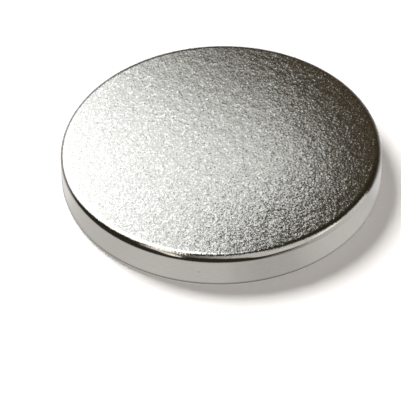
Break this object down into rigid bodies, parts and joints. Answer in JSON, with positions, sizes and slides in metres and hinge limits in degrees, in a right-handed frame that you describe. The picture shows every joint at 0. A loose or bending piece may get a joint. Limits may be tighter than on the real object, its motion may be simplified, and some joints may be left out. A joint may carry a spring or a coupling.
{
  "type": "disc magnet",
  "caption": "Flat round disc magnet with two plain pole faces, a straight side wall and rounded rims, plated in satin nickel.",
  "frame": {"origin": "centre of the lower flat face, on the disc's axis", "axes": "+Z along the disc's axis through its thickness, from the lower pole face to the upper one; X and Y lie in the lower face, and any direction round the axis is alike"},
  "size_m": [0.0254, 0.0254, 0.0032],
  "materials": {
    "nickel_plating": "satin"
  },
  "bodies": {
    "root": {"magnet": "nickel_plating"}
  },
  "joints": []
}
